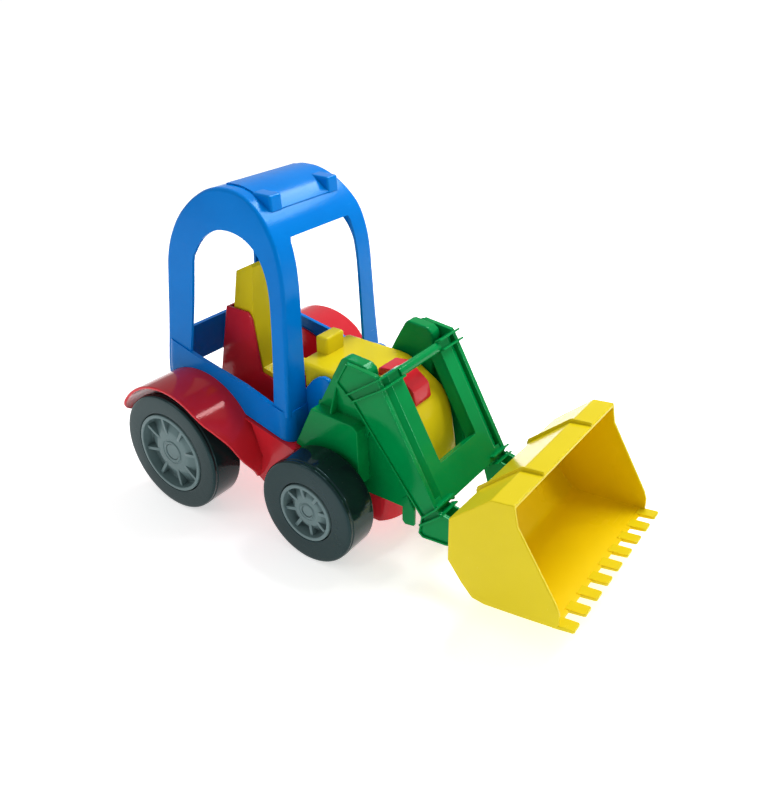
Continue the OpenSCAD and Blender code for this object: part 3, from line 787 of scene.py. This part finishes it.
def on_line(m, line):
    return min(((Vector((m.x, m.z)) - (Vector(a)
        + Vector(b)) / 2).length - (Vector(a) - Vector(b)).length / 2) for a,
        b in zip(line, line[1:])) < 0.05


def cab_solid(name, inset, rounding):
    line = inward(ARCH, inset)
    foot = 103 - inset * 4
    line = [(line[0][0], foot)] + line[1:-1] + [(line[-1][0], foot)]
    piece = side_slab(name, line, -60, 60)
    edit(piece)
    for height, _ in CAB_HALF[1:-1]:
        bpy.ops.mesh.select_all(action="SELECT")
        bpy.ops.mesh.bisect(plane_co=at(0, 0, height), plane_no=(0, 0, 1))
    done()
    for height in sorted({round(v.co.z / MM, 3) for v in piece.data.vertices}):
        mark_points(piece, lambda p: abs(p.z - height) < 0.004)
        bpy.ops.transform.resize(value=(1, (cab_half_width(height) - inset) / 60, 1),
            center_override=at(0, 0, height))
        done()
    round_edges(piece, rounding, 7, lambda m, d: abs(d.y) < 0.6 and abs(m.y) > 36 and m.z > foot + 0.5
        and on_line(m, line))
    return piece


cab = cab_solid("cab_shell", 0, 9.0)
cut(cab, cab_solid("inside", 2.6, 6.4))
DOOR = [(-12.4, 126), (-12, 132)] + flowing([(-6, 180), (-2, 215), (3, 225.5), (10.5, 235.5), (20, 243),
    (31, 248), (44, 249), (57, 246.4), (68, 240), (76, 230), (81, 217), (83.4, 200), (85, 165),
    (86, 130)]) + [(86.2, 104)]
door = side_slab("door", DOOR, -80, 80)
windscreen = front_slab("windscreen", [(-41.2, 119), (-40, 170), (-38.5, 215), (-37.2, 245),
    (-35.6, 248), (35.6, 248), (37.2, 245), (38.5, 215), (40, 170), (41.2, 119)], 80, 120)
rear_window = front_slab("rear_window", [(-50, 139), (-48.5, 190), (-47, 234), (-40, 245), (40, 245),
    (47, 234), (48.5, 190), (50, 139)], -60, -10)
cut(cab, door, windscreen, rear_window)
soften(cab, 0.9, 3, 45)
finish_piece(cab, blue_gloss, "tractor", "blue_plastic", "cab", smooth=34)

band = plan_slab("cab_band", [(-47.3, -66.9), (103.8, -66.9), (103.8, 66.9), (-47.3, 66.9)], 74, 118)
mark_faces(band, lambda one: one.normal.z > 0.9)
bpy.ops.mesh.extrude_region_move(TRANSFORM_OT_translate={"value": (0, 0, 27 * MM)})
done()
for height, rear, front, half in ((118, -44.3, 102.8, 65.7), (145, -41.8, 101.7, 63.3)):
    mark_points(band, lambda p: abs(p.z - height) < 0.1)
    bpy.ops.transform.resize(value=((front - rear) / 151.1, half / 66.9, 1),
        center_override=at(28.25, 0, height))
    bpy.ops.transform.translate(value=(((front + rear) / 2 - 28.25) * MM, 0, 0))
    done()
round_edges(band, 10.3, 7, lambda m, d: abs(d.z) > 0.9)
mark_faces(band, lambda one: abs(one.normal.z) > 0.9)
bpy.ops.mesh.delete(type="FACE")
done()
run_modifier(band, "SOLIDIFY", thickness=3.8 * MM, offset=-1, use_even_offset=True)
above = side_slab("above", [(-60, 142.5), (-33, 137.5), (1, 129.5), (55, 119.5), (86, 110.3),
    (97, 107.6), (125, 107.5), (125, 190), (-60, 190)], -90, 90)
below = side_slab("below", [(-60, 60), (-60, 92.5)] + bow(0, 52.7, 65.85, 142, 36.6, 40)
    + [(110, 77.2), (125, 77.2), (125, 60)], -90, 90)
behind = front_slab("behind", [(-56, 60), (56, 60), (56, 103), (-56, 103)], -60, -10)
cut(band, above, below, behind)
soften(band, 0.9, 3, 40)
ear = side_slab("ear", [(100.6, 84), (100.6, 121), (108.8, 131), (114.3, 135), (119.8, 137),
    (124, 136.6), (127, 134.6), (128.2, 131), (126.2, 126.4), (121.6, 117), (109.6, 91), (107, 84)],
    -41.2, -36.6)
soften(ear, 1.5, 4)
finish_piece(put_together(band, both_sides(ear)), blue_gloss, "tractor", "blue_plastic", "cab_base",
    smooth=34)

PAD = flowing([(28.6, 281.7), (37, 282.3), (47, 281.7), (58.3, 278.6), (68.8, 273.2), (75.4, 267.8),
    (76.0, 266.6)])
pad = side_slab("roof_pad", [(28.2, 276)] + PAD + [(74, 266.4), (60, 272)], -40, 40)
round_edges(pad, 0.9, 3, lambda m, d: (abs(d.y) < 0.2 and m.z > 267) or m.x < 29)
lamp = side_slab("lamp", [(56, 268), (56, 278.9), (75.4, 278.7), (76.4, 266.4)], -41.2, -27.8)
round_edges(lamp, 2.0, 5, lambda m, d: m.z > 267.8)
finish_piece(put_together(pad, both_sides(lamp)), blue_gloss, "tractor", "blue_plastic", "roof_lights",
    smooth=34)


# ---- tub, seat and small fixed pieces -----------------------------------
def refined(node_name, name, material, radius, steps=2, angle=28, body="tractor"):
    """A copy of a fixed moulding, joined up and given its moulding radius."""
    choose(nodes[node_name])
    bpy.ops.object.duplicate(linked=False)
    piece = name_it(bpy.context.object, name)
    piece.hide_render = False
    edit(piece)
    bpy.ops.mesh.select_all(action="SELECT")
    bpy.ops.mesh.remove_doubles(threshold=0.000002)
    bpy.ops.mesh.dissolve_limited(angle_limit=math.radians(0.4))
    done()
    soften(piece, radius, steps, angle)
    return finish_piece(piece, material, body, slot_of[node_name], node_name, smooth=32)


refined("chassis", "tub", red_gloss, 0.9, 3)
def make_skirt():
    """The side below the sloping ledge, drawn in towards its foot."""
    skirt = side_slab("skirt", [(63, 88), (48, 91.7), (48, 91.4), (62, 86.4), (66.2, 52), (58, 30),
        (66, 24.5), (100, 24), (104, 40), (109.2, 76.9), (109.2, 77.3)], -69.2, -62.2)
    mark_points(skirt, lambda p: p.y < -63 and p.z < 60)
    bpy.ops.transform.translate(value=(0, 5.6 * MM, 0))
    done()
    soften(skirt, 1.1, 4)
    return skirt


finish_piece(both_sides(make_skirt()), red_gloss, "tractor", "red_plastic")
refined("seat_base", "seat_surround", red_gloss, 0.7, 2)
refined("seat", "seat_insert", yellow_gloss, 0.9, 3)


# ---- floor and light ----------------------------------------------------
clear()
bpy.ops.mesh.primitive_plane_add(size=40, location=(0, 0, -0.0005))
floor = name_it(bpy.context.object, "floor")
bpy.ops.object.transform_apply(location=True, rotation=True, scale=True)
pale = bpy.data.materials.new("pale_floor")
pale.use_nodes = True
pale.node_tree.nodes["Principled BSDF"].inputs["Base Color"].default_value = (0.93, 0.93, 0.93, 1)
pale.node_tree.nodes["Principled BSDF"].inputs["Roughness"].default_value = 0.7
pale.node_tree.nodes["Principled BSDF"].inputs["Specular IOR Level"].default_value = 0.1
pale.node_tree.nodes["Principled BSDF"].inputs["Emission Color"].default_value = (1, 1, 1, 1)
pale.node_tree.nodes["Principled BSDF"].inputs["Emission Strength"].default_value = 0.56
floor.data.materials.append(pale)
world = bpy.data.worlds.new("studio")
bpy.context.scene.world = world
bpy.context.scene.view_settings.view_transform = "Standard"
world.use_nodes = True
world.node_tree.nodes["Background"].inputs[0].default_value = (1, 1, 1, 1)
world.node_tree.nodes["Background"].inputs[1].default_value = 0.5


def softbox(name, power, size, place, aim):
    data = bpy.data.lights.new(name, "AREA")
    data.energy = power
    data.size = size
    light = bpy.data.objects.new(name, data)
    bpy.context.collection.objects.link(light)
    light.location = place
    light.rotation_euler = (Vector(place) - Vector(aim)).to_track_quat("Z", "Y").to_euler()
    return light


softbox("overhead", 11, 0.55, (0.05, 0.55, 1.05), (0, 0, 0.1))
softbox("front_left", 3.5, 0.3, (1.2, 0.52, 0.45), (0, 0, 0.1))
softbox("side_fill", 1.6, 0.4, (-0.7, -1.1, 0.8), (0, 0, 0.1))
